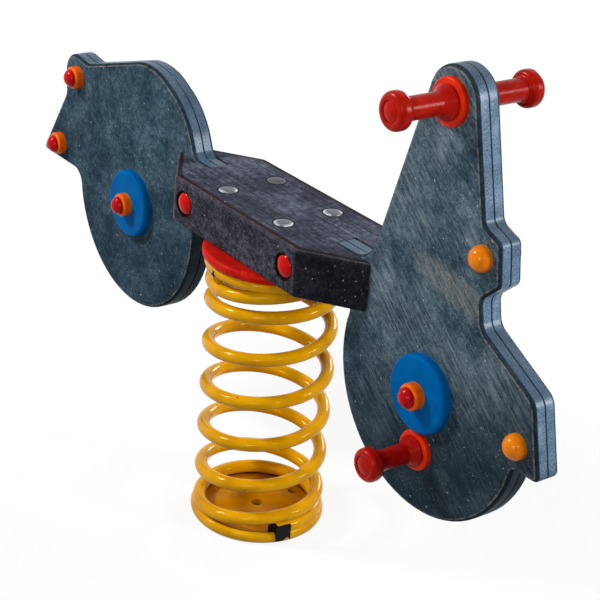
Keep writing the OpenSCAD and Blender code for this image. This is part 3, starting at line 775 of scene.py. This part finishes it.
class Dresser:
    """Gives pieces their finishes and builds each material once."""

    def __init__(self) -> None:
        """Start with no material made."""
        self._made: dict[Finish, bpy.types.Material] = {}

    def dress(self, piece: bpy.types.Object, finish: Finish) -> None:
        """Put one finish on a whole piece.

        Args:
            piece: Piece whose materials are replaced.
            finish: Surface of the piece.
        """
        if finish not in self._made:
            self._made[finish] = finish.material()
        piece.data.materials.clear()
        piece.data.materials.append(self._made[finish])

    def piece(self, name: str, bm: bmesh.types.BMesh, finish: Finish,
              sharp: float = 40.0) -> bpy.types.Object:
        """Make a smooth-shaded object from a bmesh.

        Args:
            name: Name of the piece.
            bm: Mesh in frame coordinates; it is freed.
            finish: Surface of the piece.
            sharp: Angle in degrees above which an edge stays sharp.

        Returns:
            The new object, at the origin.
        """
        bmesh.ops.recalc_face_normals(bm, faces=bm.faces[:])
        for face in bm.faces:
            face.smooth = True
        for edge in bm.edges:
            edge.smooth = edge.calc_face_angle(0.0) < math.radians(sharp)
        mesh = bpy.data.meshes.new(name)
        bm.to_mesh(mesh)
        bm.free()
        made = bpy.data.objects.new(name, mesh)
        bpy.context.scene.collection.objects.link(made)
        weighted = made.modifiers.new("Weighted normals", "WEIGHTED_NORMAL")
        weighted.keep_sharp = True
        self.dress(made, finish)
        return made


def verts_of(geometry: list) -> list[bmesh.types.BMVert]:
    """Vertices among the items that an operator returns."""
    return [item for item in geometry if isinstance(item, bmesh.types.BMVert)]


def edges_of(geometry: list) -> list[bmesh.types.BMEdge]:
    """Edges among the items that an operator returns."""
    return [item for item in geometry if isinstance(item, bmesh.types.BMEdge)]


@dataclass(frozen=True)
class Corner:
    """A corner of a panel's outline in mm: away from the seat's middle, above its underside, and radius."""

    x: float
    z: float
    r: float = 0.0


@dataclass(frozen=True)
class Arc:
    """An arc of a panel's outline in mm and degrees, counted like its corners."""

    x: float
    z: float
    r: float
    first: float
    last: float


@dataclass
class FigurePanel:
    """A figure panel of two milled sheets laid face to face, with a tongue in the seat's slot.

    Sizes are in mm and angles in degrees. X is counted away from the seat's middle and Z from its underside.
    """

    name: str
    end: End
    finish: Finish
    corners: tuple[Corner | Arc, ...]
    wheel_end: float
    wheel_end_r: float
    wheel_start: float = 159.6
    wheel_start_r: float = 14.0
    hub_x: float = 361.1
    hub_z: float = -60.0
    wheel_r: float = 173.0
    seat_z: float = 442.41
    tongue_x: float = 154.3
    tongue_z: float = 70.5
    tongue_foot: float = 0.3
    tenon_x: float = 92.3
    tenon_root: float = 12.0
    tenon_foot: float = 4.0
    tenon_top: float = 54.0
    tenon_play: float = 0.6
    thickness: float = 19.0
    edge_r: float = 6.0
    edge_segments: int = 6
    parting: float = 1.5
    parting_segments: int = 3
    free_chord: float = 10.0
    arc_step: float = 5.0
    corner_step: float = 6.0
    corner_segments: int = 4

    def spot(self, x: float, z: float) -> Vector:
        """Frame place of an outline point on the parting plane."""
        return Vector((self.end.value * x, 0.0, self.seat_z + z)) * MM

    def arc_spot(self, arc: Arc, angle: float) -> Vector:
        """Frame place of a point on an arc, by its angle in degrees."""
        turn = math.radians(angle)
        return self.spot(arc.x + arc.r * math.cos(turn), arc.z + arc.r * math.sin(turn))

    def spun(self, bm: bmesh.types.BMesh, arc: Arc) -> list[bmesh.types.BMVert]:
        """Spin a vertex along an arc.

        Args:
            bm: Mesh of the outline.
            arc: Arc that the vertex follows.

        Returns:
            The vertices of the arc in order.
        """
        steps = math.ceil((arc.last - arc.first) / self.arc_step)
        verts = [bm.verts.new(self.arc_spot(arc, arc.first))]
        for _ in range(steps):
            turned = bmesh.ops.spin(
                bm, geom=verts[-1:], cent=self.spot(arc.x, arc.z), axis=(0.0, -self.end.value, 0.0),
                angle=math.radians(arc.last - arc.first) / steps, steps=1)["geom_last"]
            verts += verts_of(turned)
        return verts

    def round_corner(self, bm: bmesh.types.BMesh, vert: bmesh.types.BMVert, radius: float,
                     angle: float) -> None:
        """Round one corner of the outline.

        Args:
            bm: Mesh of the outline.
            vert: Corner that is rounded.
            radius: Radius of the rounding in mm.
            angle: Angle between the two sides of the corner, in radians.
        """
        segments = math.ceil((math.pi - angle) / math.radians(self.corner_step))
        bmesh.ops.bevel(
            bm, geom=[vert], offset=radius * MM / math.tan(angle / 2), offset_type="OFFSET",
            affect="VERTICES", segments=max(self.corner_segments, segments), profile=0.5, material=-1)

    def outline(self, bm: bmesh.types.BMesh) -> bmesh.types.BMFace:
        """Close the outline as one face and round its corners.

        The wheel has a free chord at each end, which leaves room for the rounding there.

        Args:
            bm: Empty mesh that takes the outline.

        Returns:
            The face.
        """
        wheel = Arc(self.hub_x, self.hub_z, self.wheel_r, self.wheel_start + self.free_chord,
                    self.wheel_end - self.free_chord)
        tongue = (Corner(self.tongue_x, self.tongue_z), Corner(self.tongue_x, self.tongue_foot))
        loop = [(bm.verts.new(self.arc_spot(wheel, self.wheel_start)), self.wheel_start_r)]
        loop += [(vert, 0.0) for vert in self.spun(bm, wheel)]
        loop += [(bm.verts.new(self.arc_spot(wheel, self.wheel_end)), self.wheel_end_r)]
        for corner in self.corners + tongue:
            if isinstance(corner, Arc):
                loop += [(vert, 0.0) for vert in self.spun(bm, corner)]
            else:
                loop += [(bm.verts.new(self.spot(corner.x, corner.z)), corner.r)]
        bm.faces.new([vert for vert, _ in loop])
        places = [vert.co.copy() for vert, _ in loop]
        for k, (vert, radius) in enumerate(loop):
            if radius:
                back = places[k - 1] - places[k]
                ahead = places[(k + 1) % len(places)] - places[k]
                self.round_corner(bm, vert, radius, back.angle(ahead))
        return bm.faces[:][0]

    def soften(self, bm: bmesh.types.BMesh, depth: float, width: float, segments: int) -> None:
        """Round the rim of one face of a sheet.

        Args:
            bm: Mesh of the sheet.
            depth: Distance of the face from the parting plane.
            width: Width of the rounding.
            segments: Number of its segments.
        """
        rim = [edge for edge in bm.edges
               if all(abs(abs(vert.co.y) - depth * MM) < TOUCH for vert in edge.verts)]
        bmesh.ops.bevel(bm, geom=rim, offset=width * MM, offset_type="OFFSET", affect="EDGES",
                        segments=segments, profile=0.5, material=-1, clamp_overlap=False, loop_slide=True)

    def add_tenon(self, bm: bmesh.types.BMesh, side: Side) -> None:
        """Add the tenon that the seat's clamp bolts hold.

        Args:
            bm: Mesh of the sheet.
            side: Side of the rider that the sheet is on.
        """
        length = self.tongue_x + self.tenon_root - self.tenon_x
        middle = self.spot(self.tenon_x + length / 2, (self.tenon_foot + self.tenon_top) / 2)
        middle += Vector((0.0, side.value * self.thickness / 2, 0.0)) * MM
        size = Vector((length, self.thickness - self.tenon_play, self.tenon_top - self.tenon_foot)) * MM
        bmesh.ops.create_cube(bm, size=1.0, matrix=Matrix.LocRotScale(middle, None, size))

    def build(self, dresser: Dresser, side: Side) -> bpy.types.Object:
        """Make one sheet of the panel.

        Args:
            dresser: Maker of pieces.
            side: Side of the rider that the sheet is on.

        Returns:
            The sheet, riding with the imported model.
        """
        bm = bmesh.new()
        face = self.outline(bm)
        grown = bmesh.ops.extrude_face_region(bm, geom=[face], use_keep_orig=True)["geom"]
        bmesh.ops.translate(bm, verts=verts_of(grown), vec=(0.0, side.value * self.thickness * MM, 0.0))
        bmesh.ops.recalc_face_normals(bm, faces=bm.faces[:])
        self.soften(bm, self.thickness, self.edge_r, self.edge_segments)
        self.soften(bm, 0.0, self.parting, self.parting_segments)
        self.add_tenon(bm, side)
        node = f"{self.name}_{side.name.lower()}"
        sheet = dresser.piece(f"{node}_board", bm, self.finish)
        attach(sheet, Body.RIDER.value)
        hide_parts(node)
        return sheet


@dataclass
class SeatBlock:
    """The seat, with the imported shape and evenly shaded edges."""

    finish: Finish

    def build(self, dresser: Dresser) -> bpy.types.Object:
        """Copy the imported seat, merge its facets and shade it.

        Args:
            dresser: Maker of pieces.

        Returns:
            The seat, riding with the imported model.
        """
        bm = bmesh.new()
        bm.from_mesh(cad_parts["seat"].data)
        bmesh.ops.remove_doubles(bm, verts=bm.verts[:], dist=TOUCH)
        block = dresser.piece("seat_block", bm, self.finish)
        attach(block, Body.RIDER.value)
        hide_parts("seat")
        return block


@dataclass
class CoilSpring:
    """The coil of round wire with closed ends and straight tips, in two lengths.

    A place along the wire is counted in turns from its foot, and a pitch is the climb of one turn. Each bend
    is a lowest and a highest level, one pair for each length.
    """

    finish: Finish
    coil_r: float = 0.090
    wire_r: float = 0.010
    wire_sides: int = 28
    foot_z: float = 0.021035
    tip_azimuth: float = -6.0
    turns: float = 7.72
    closed_pitch: float = 0.0208
    open_pitch: float = 0.070
    opening_turn: float = 1.0
    closing_turn: float = 5.67
    ramp: float = 0.45
    tip: float = 0.020
    flat_turn: float = 0.66
    split_turn: float = 3.62
    steps_per_turn: int = 72
    lower_bend: tuple[float, float] = (0.045, 0.205)
    upper_bend: tuple[float, float] = (0.228, 0.395)

    def ramp_area(self, n: float) -> float:
        """Integrate the ramp from closed to open pitch.

        Args:
            n: Turns since the ramp began; negative before it.

        Returns:
            Turns at the open pitch that give the same climb.
        """
        if n <= 0.0:
            return 0.0
        return n * n / (2 * self.ramp) if n < self.ramp else n - self.ramp / 2

    def settled(self, n: float) -> float:
        """Find how far the wire's end turn lies below an even pitch; it rests flat and then climbs.

        Args:
            n: Turns from the end of the wire.

        Returns:
            Drop in metres, 0 after one turn.
        """
        crossing = 1.0 - self.flat_turn
        t = min(1.0, max(0.0, (n - self.flat_turn) / crossing))
        return self.closed_pitch * (min(n, 1.0) - t * t * (3.0 - 2.0 * t) + crossing * t * t * (1.0 - t))

    def lift(self, n: float) -> float:
        """Find the height of the wire's centre above its foot.

        Args:
            n: Place along the wire.

        Returns:
            Height in metres.
        """
        opened = self.ramp_area(n - self.opening_turn) - self.ramp_area(n - self.closing_turn)
        even = self.closed_pitch * n + (self.open_pitch - self.closed_pitch) * opened
        return even - self.settled(n) + self.settled(self.turns - n)

    def azimuth(self, n: float) -> float:
        """Angle about Z of a place along the wire, in radians."""
        return math.radians(self.tip_azimuth) + FULL_TURN * n

    def along(self, n: float) -> Vector:
        """Level direction of the wire at a place along it."""
        return Vector((-math.sin(self.azimuth(n)), math.cos(self.azimuth(n)), 0.0))

    def straight(self, bm: bmesh.types.BMesh, ring: list, n: float) -> list:
        """Extrude a ring straight on along the wire.

        Args:
            bm: Mesh of the wire.
            ring: Vertices and edges of the ring.
            n: Place of the ring along the wire.

        Returns:
            Vertices and edges of the new ring.
        """
        grown = bmesh.ops.extrude_edge_only(bm, edges=edges_of(ring))["geom"]
        verts = verts_of(grown)
        bmesh.ops.translate(bm, verts=verts, vec=self.along(n) * self.tip)
        fresh = set(verts)
        return verts + [edge for edge in edges_of(grown) if set(edge.verts) <= fresh]

    def wire(self, first: float, last: float) -> bmesh.types.BMesh:
        """Step a ring of the wire round the coil, with a straight tip at a true end.

        Args:
            first: Place along the wire where the length begins.
            last: Place where it ends.

        Returns:
            The length of wire, closed at both ends.
        """
        bm = bmesh.new()
        upright = Matrix(((1, 0, 0, self.coil_r), (0, 0, -1, 0), (0, 1, 0, self.foot_z + self.lift(first)),
                          (0, 0, 0, 1)))
        bmesh.ops.create_circle(bm, segments=self.wire_sides, radius=self.wire_r, cap_ends=True,
                                matrix=Matrix.Rotation(self.azimuth(first), 4, "Z") @ upright)
        ring = bm.verts[:] + bm.edges[:]
        if first == 0.0:
            ring = self.straight(bm, ring, first)
            bmesh.ops.translate(bm, verts=bm.verts[:], vec=self.along(first) * -self.tip)
        steps = round((last - first) * self.steps_per_turn)
        places = [first + (last - first) * k / steps for k in range(steps + 1)]
        for here, there in zip(places, places[1:]):
            ring = bmesh.ops.spin(bm, geom=ring, cent=ORIGIN, axis=UPRIGHT,
                                  dvec=(0.0, 0.0, self.lift(there) - self.lift(here)),
                                  angle=FULL_TURN * (there - here), steps=1)["geom_last"]
        if last == self.turns:
            ring = self.straight(bm, ring, last)
        bmesh.ops.contextual_create(bm, geom=edges_of(ring))
        return bm

    def build(self, dresser: Dresser) -> list[bpy.types.Object]:
        """Make both lengths of the wire and hide the imported coil.

        Args:
            dresser: Maker of pieces.

        Returns:
            The lower and the upper length.
        """
        lengths = (
            ("spring_lower", 0.0, self.split_turn, Body.BASE, Body.SPRING, self.lower_bend),
            ("spring_upper", self.split_turn, self.turns, Body.SPRING, Body.RIDER, self.upper_bend),
        )
        made = []
        for name, first, last, below, above, (start, end) in lengths:
            coil = dresser.piece(name, self.wire(first, last), self.finish)
            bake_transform(coil)
            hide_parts("spring")
            made.append(coil)
        return made


@dataclass
class RolledRim:
    """The rolled edge of a dish that holds one end of the coil."""

    name: str
    body: Body
    finish: Finish
    middle_z: float
    half_height: float
    radius: float
    half_width: float
    oval_sides: int = 28
    steps: int = 120

    def build(self, dresser: Dresser) -> bpy.types.Object:
        """Spin an oval round the coil's axis.

        Args:
            dresser: Maker of pieces.

        Returns:
            The rim, riding with its dish.
        """
        bm = bmesh.new()
        oval = Matrix.Translation((self.radius, 0.0, self.middle_z))
        oval @= Matrix.Diagonal((self.half_width, 1.0, self.half_height, 1.0))
        oval @= Matrix.Rotation(math.pi / 2, 4, "X")
        bmesh.ops.create_circle(bm, segments=self.oval_sides, radius=1.0, matrix=oval)
        bmesh.ops.spin(bm, geom=bm.verts[:] + bm.edges[:], cent=ORIGIN, axis=UPRIGHT, angle=FULL_TURN,
                       steps=self.steps, use_merge=True)
        rim = dresser.piece(self.name, bm, self.finish)
        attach(rim, self.body.value)
        return rim


@dataclass(frozen=True)
class Softbox:
    """A square studio light."""

    name: str
    place: Triple
    aim: Triple
    size: float
    watts: float

    def build(self) -> None:
        """Hang the light and turn it to its aim."""
        lamp = bpy.data.lights.new(self.name, "AREA")
        lamp.size = self.size
        lamp.energy = self.watts
        hung = bpy.data.objects.new(self.name, lamp)
        hung.location = self.place
        hung.rotation_euler = (Vector(self.aim) - Vector(self.place)).to_track_quat("-Z", "Y").to_euler()
        bpy.context.scene.collection.objects.link(hung)


@dataclass
class Studio:
    """Floor, soft lights, white surroundings and the camera.

    Lens and sensor are in mm and angles in degrees. Azimuth 0 looks along Y, from the rider's right.
    """

    floor: Finish
    lights: tuple[Softbox, ...]
    ambient: float
    floor_r: float = 14.0
    floor_sides: int = 96
    lens: float = 97.43
    sensor: float = 36.0
    azimuth: float = 51.51
    elevation: float = 25.10
    roll: float = 4.84
    distance: float = 2.31919
    target: Triple = (0.0649, 0.0, 0.38552)

    def build(self, dresser: Dresser) -> bpy.types.Object:
        """Set up everything round the rider.

        Args:
            dresser: Maker of pieces.

        Returns:
            The floor, which is no part of the object.
        """
        bm = bmesh.new()
        bmesh.ops.create_circle(bm, cap_ends=True, segments=self.floor_sides, radius=self.floor_r)
        floor = dresser.piece("studio_floor", bm, self.floor)
        for light in self.lights:
            light.build()
        self.surround()
        self.aim_camera()
        bpy.context.scene.view_settings.view_transform = "Standard"
        return floor

    def surround(self) -> None:
        """White surroundings for the camera and reflections, a softer level for the light."""
        world = bpy.data.worlds.new("studio")
        world.use_nodes = True
        graph = Graph(world.node_tree)
        back = world.node_tree.nodes["Background"]
        graph.feed(back.inputs["Color"], WHITE)
        graph.feed(back.inputs["Strength"], self.ambient + graph.seen() * (1.0 - self.ambient))
        bpy.context.scene.world = world

    def aim_camera(self) -> None:
        """Place the camera at the photograph's angle."""
        azimuth = math.radians(self.azimuth)
        elevation = math.radians(self.elevation)
        level = math.cos(elevation)
        back = Vector((math.sin(azimuth) * level, -math.cos(azimuth) * level, math.sin(elevation)))
        right = (-back).cross(Vector(UPRIGHT)).normalized()
        turn = Matrix((right, back.cross(right), back)).transposed()
        turn = Matrix.Rotation(math.radians(self.roll), 3, back) @ turn
        data = bpy.data.cameras.new("camera")
        data.lens = self.lens
        data.sensor_width = self.sensor
        data.dof.use_dof = False
        camera = bpy.data.objects.new("camera", data)
        camera.matrix_world = Matrix.Translation(Vector(self.target) + back * self.distance) @ turn.to_4x4()
        bpy.context.scene.collection.objects.link(camera)
        bpy.context.scene.camera = camera


# Finishes of metal
YELLOW = Paint("yellow_gloss", rgb(230, 167, 0), rgb(206, 142, 0), chips=0.04)
# The dish: the yellow paint in a darker tone as painted shade under the coil, with more painted shade
# outside 8 cm
SHADED_DISH = Paint("yellow_dish_shaded", rgb(196, 130, 0), rgb(170, 108, 0), chips=0.08, gloss=0.05, rim_shade_r=0.08)
ZINC = Zinc("zinc_plate", rgb(138, 136, 132), rgb(92, 86, 80))
# The rim colour of the bolt heads is a painted highlight
BOLT_HEAD = BoltHead("bolt_head", rgb(100, 103, 112), rgb(54, 54, 60), rim=rgb(236, 240, 248))

# Finishes of moulded plastic
RED_SHEEN: Rgba = (1.0, 0.6, 0.55, 1.0)
WARM_SHEEN: Rgba = (1.0, 0.75, 0.45, 1.0)
BLUE_SHEEN: Rgba = (0.0, 0.5, 1.0, 1.0)
CLIP = Plastic("clip_rubber", rgb(12, 12, 15), rgb(5, 5, 7), roughness=0.5, scuff=0.04, specular=0.1)
CAP_RED = Plastic("cap_red", rgb(208, 14, 8), rgb(184, 8, 4), roughness=0.06, scuff=0.04, specular=0.1,
                  sheen=RED_SHEEN)
DISC_RED = Plastic("disc_red", rgb(204, 26, 14), rgb(178, 16, 8), roughness=0.3, scuff=0.08, specular=0.05,
                   sheen=RED_SHEEN)
GRIP_RED = Plastic("grip_red", rgb(182, 22, 8), rgb(150, 12, 4), roughness=0.18, scuff=0.03, specular=0.1,
                   sheen=RED_SHEEN)
COVER_RED = Plastic("cover_red", rgb(196, 10, 20), rgb(168, 4, 12), roughness=0.14, scuff=0.05,
                    specular=0.12, sheen=RED_SHEEN)
FLAME_RED = Plastic("flame_red", rgb(230, 52, 16), rgb(206, 34, 8), roughness=0.24, scuff=0.06,
                    specular=0.1, sheen=RED_SHEEN)
ORANGE = Plastic("cover_orange", rgb(244, 110, 8), rgb(228, 88, 2), roughness=0.2, scuff=0.06,
                 specular=0.12, sheen=WARM_SHEEN)
AMBER = Plastic("dome_amber", rgb(240, 132, 0), rgb(226, 112, 0), roughness=0.08, scuff=0.03, specular=0.2,
                sheen=WARM_SHEEN)
BLUE = Plastic("disc_blue", rgb(0, 100, 169), rgb(0, 86, 151), roughness=0.34, scuff=0.0, specular=0.02,
               sheen=BLUE_SHEEN)

# Finishes of the milled boards and of the floor
# The boards' painted shade towards the ground is set by damp, low_shade_z and low_shade_slope
FRONT_BOARD = Board(
    "front_board", rgb(24, 42, 54), rgb(60, 80, 93), rgb(118, 136, 148), scuffs=0.72, specks=0.24,
    painted_low_shade=0.76, low_shade_z=0.17, low_shade_slope=0.3, mottling=(0.02, 0.01, 0.0045),
    smudges=(Smudge(x=0.385, z=0.545, length=0.09, width=0.028, turn=10.9),))
REAR_BOARD = Board(
    "rear_board", rgb(22, 41, 54), rgb(50, 72, 87), rgb(94, 118, 133), scuffs=0.1, specks=0.3, painted_low_shade=0.3,
    shade_z=0.38)
SEAT_BOARD = SeatBoard("seat_board", top_z=0.51391, half_width=0.081, bevel_x=0.150,
                       bevel_slope=(0.577, 0.816))
FLOOR = Ground("studio_floor", rgb(248, 248, 248), rgb(120, 120, 120), glow=0.84, near=0.4, far=1.2)

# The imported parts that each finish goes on
PACKED_FINISHES: tuple[tuple[Finish, tuple[str, ...]], ...] = (
    (YELLOW, ("top_plate",)),
    (SHADED_DISH, ("base_plate",)),
    (CLIP, ("base_clip", "top_clip")),
    (BOLT_HEAD, ("seat_bolts",)),
    (ZINC, ("plate_screws", "seat_tee_nuts", "seat_clamp_bolts", "seat_clamp_washers", "seat_clamp_nuts",
            "handle_rod", "handle_nuts", "peg_rod", "peg_nuts", "hub_bolts", "hub_nuts", "tail_bolts",
            "tail_nuts", "front_dome_bolts", "front_dome_nuts")),
    (CAP_RED, ("seat_caps",)),
    (DISC_RED, ("mounting_disc",)),
    (GRIP_RED, ("handle_right", "handle_left", "handle_plugs", "peg_right", "peg_left", "peg_plugs")),
    (COVER_RED, ("hub_cover_domes", "tail_cover_domes")),
    (FLAME_RED, ("handle_rosettes", "peg_rosettes")),
    (ORANGE, ("hub_cover_rings", "tail_cover_rings")),
    (AMBER, ("front_dome_bases", "front_domes")),
    (BLUE, ("front_hub_disc_right", "front_hub_disc_left", "rear_hub_disc_right", "rear_hub_disc_left")),
)

# Pieces that are built here, and the studio
FRONT_PANEL = FigurePanel(
    "front_panel", End.FRONT, FRONT_BOARD,
    (Corner(577.0, -84.0, 8.6), Corner(551.1, 16.0, 22.5), Corner(447.2, 69.0, 20.8),
     Corner(439.2, 106.0, 13.8), Corner(468.6, 133.0, 9.5), Corner(459.9, 187.0, 10.4),
     Corner(428.2, 199.0, 13.8), Arc(348.0, 331.0, 45.0, 14.3, 163.7), Corner(225.1, 70.5, 45.0)),
    wheel_end=351.36, wheel_end_r=8.0)
REAR_PANEL = FigurePanel(
    "rear_panel", End.REAR, REAR_BOARD,
    (Corner(663.9, -67.0, 8.6), Corner(586.9, 55.8, 20.8), Corner(592.2, 135.8, 34.6),
     Corner(519.2, 124.6, 31.1), Corner(322.7, 186.0, 110.7), Corner(221.8, 136.3, 110.7),
     Corner(191.9, 70.5, 18.0)),
    wheel_end=357.69, wheel_end_r=25.0)
RIMS = (
    RolledRim("base_rim", Body.BASE, YELLOW, middle_z=0.0088, half_height=0.0086, radius=0.097,
              half_width=0.0058),
    RolledRim("top_rim", Body.RIDER, YELLOW, middle_z=0.4204, half_height=0.0069, radius=0.0985,
              half_width=0.0045),
)
LIGHTS = (
    Softbox("key", place=(-1.6, -1.7, 2.3), aim=(0.0, 0.0, 0.55), size=0.5, watts=66.0),
    Softbox("fill", place=(1.4, -2.6, 1.4), aim=(0.0, 0.0, 0.4), size=0.9, watts=30.0),
    Softbox("rim", place=(2.6, 1.75, 1.6), aim=(0.1, 0.0, 0.4), size=0.8, watts=66.0),
    Softbox("glint", place=(2.6, -1.0, 1.9), aim=(0.1, 0.0, 0.4), size=0.4, watts=9.0),
    Softbox("back", place=(-0.9, 2.9, 1.4), aim=(0.0, 0.0, 0.4), size=0.9, watts=44.0),
)
STUDIO = Studio(FLOOR, LIGHTS, ambient=0.08)


def main() -> None:
    """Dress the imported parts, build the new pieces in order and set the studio."""
    logging.basicConfig(level=logging.INFO)
    dresser = Dresser()
    for finish, nodes in PACKED_FINISHES:
        for node in nodes:
            dresser.dress(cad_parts[node], finish)
            LOG.info("dressed %s with finish %s", node, finish.name)
    pieces = CoilSpring(YELLOW).build(dresser)
    pieces += [rim.build(dresser) for rim in RIMS]
    pieces.append(SeatBlock(SEAT_BOARD).build(dresser))
    pieces += [panel.build(dresser, side) for panel in (FRONT_PANEL, REAR_PANEL) for side in Side]
    pieces.append(STUDIO.build(dresser))
    for piece in pieces:
        LOG.info("built %s with finish %s", piece.name, piece.active_material.name)


if __name__ == "__main__":
    main()
